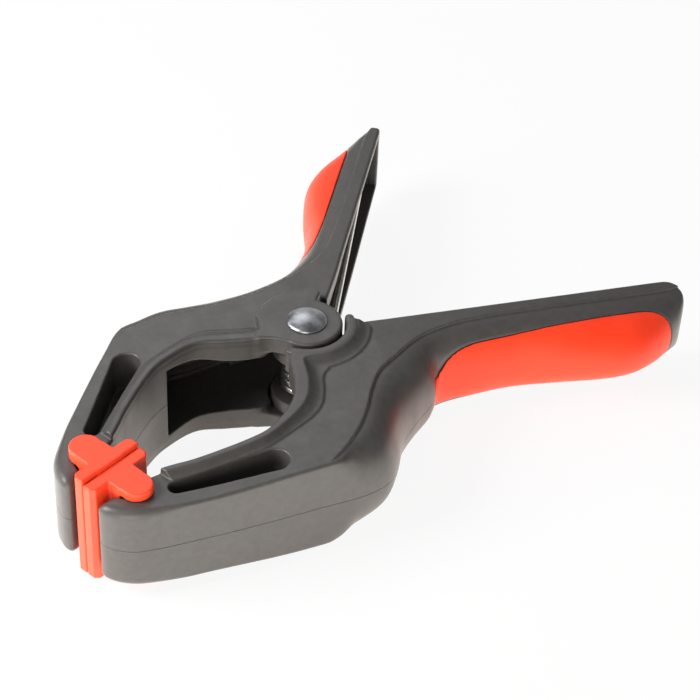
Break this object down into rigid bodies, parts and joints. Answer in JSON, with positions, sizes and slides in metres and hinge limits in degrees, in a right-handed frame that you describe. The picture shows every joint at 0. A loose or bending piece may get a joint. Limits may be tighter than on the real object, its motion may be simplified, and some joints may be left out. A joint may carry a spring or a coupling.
{
  "type": "spring clamp",
  "caption": "Hand spring clamp with curved moulded plastic jaws, swivelling pads, a riveted pivot with a torsion spring, and handles with soft grips.",
  "frame": {"origin": "on the pivot axis, at the outer face of the rivet's formed tail, which the clamp rests on", "axes": "+X from the pivot towards the handles and -X towards the jaws, +Z along the pivot axis away from the rest plane, +Y towards the arm that holds the rivet"},
  "size_m": [0.1932, 0.1348, 0.0384],
  "materials": {
    "nylon": "fine matt moulded, dark grey",
    "soft_grip": "matt soft-touch moulded, orange-red",
    "pad": "satin moulded, orange-red",
    "spring_steel": "drawn wire",
    "zinc": "bright zinc plated"
  },
  "bodies": {
    "far_side": {"far_arm": "nylon", "far_grip": "soft_grip", "rivet": "zinc", "spring": "spring_steel"},
    "near_side": {"near_arm": "nylon", "near_grip": "soft_grip"},
    "far_pad_body": {"far_pad": "pad"},
    "near_pad_body": {"near_pad": "pad"}
  },
  "joints": [
    {"name": "jaw_hinge", "type": "hinge", "parent": "far_side", "child": "near_side", "pos_m": [0, 0, 0], "axis": [0, 0, 1], "range_deg": [0, 38], "stiffness_Nm_per_rad": 1, "springref_deg": -143.24, "deforming": ["spring"]},
    {"name": "far_pad_swivel", "type": "hinge", "parent": "far_side", "child": "far_pad_body", "pos_m": [-0.0818, 0.0075, 0], "axis": [0, 0, 1], "range_deg": [0, 20]},
    {"name": "near_pad_swivel", "type": "hinge", "parent": "near_side", "child": "near_pad_body", "pos_m": [-0.0818, -0.0125, 0], "axis": [0, 0, 1], "range_deg": [-20, 0]}
  ],
  "couplings": [
    {"joint": "far_pad_swivel", "follows": "jaw_hinge", "ratio": 0.5},
    {"joint": "near_pad_swivel", "follows": "jaw_hinge", "ratio": -0.5}
  ]
}
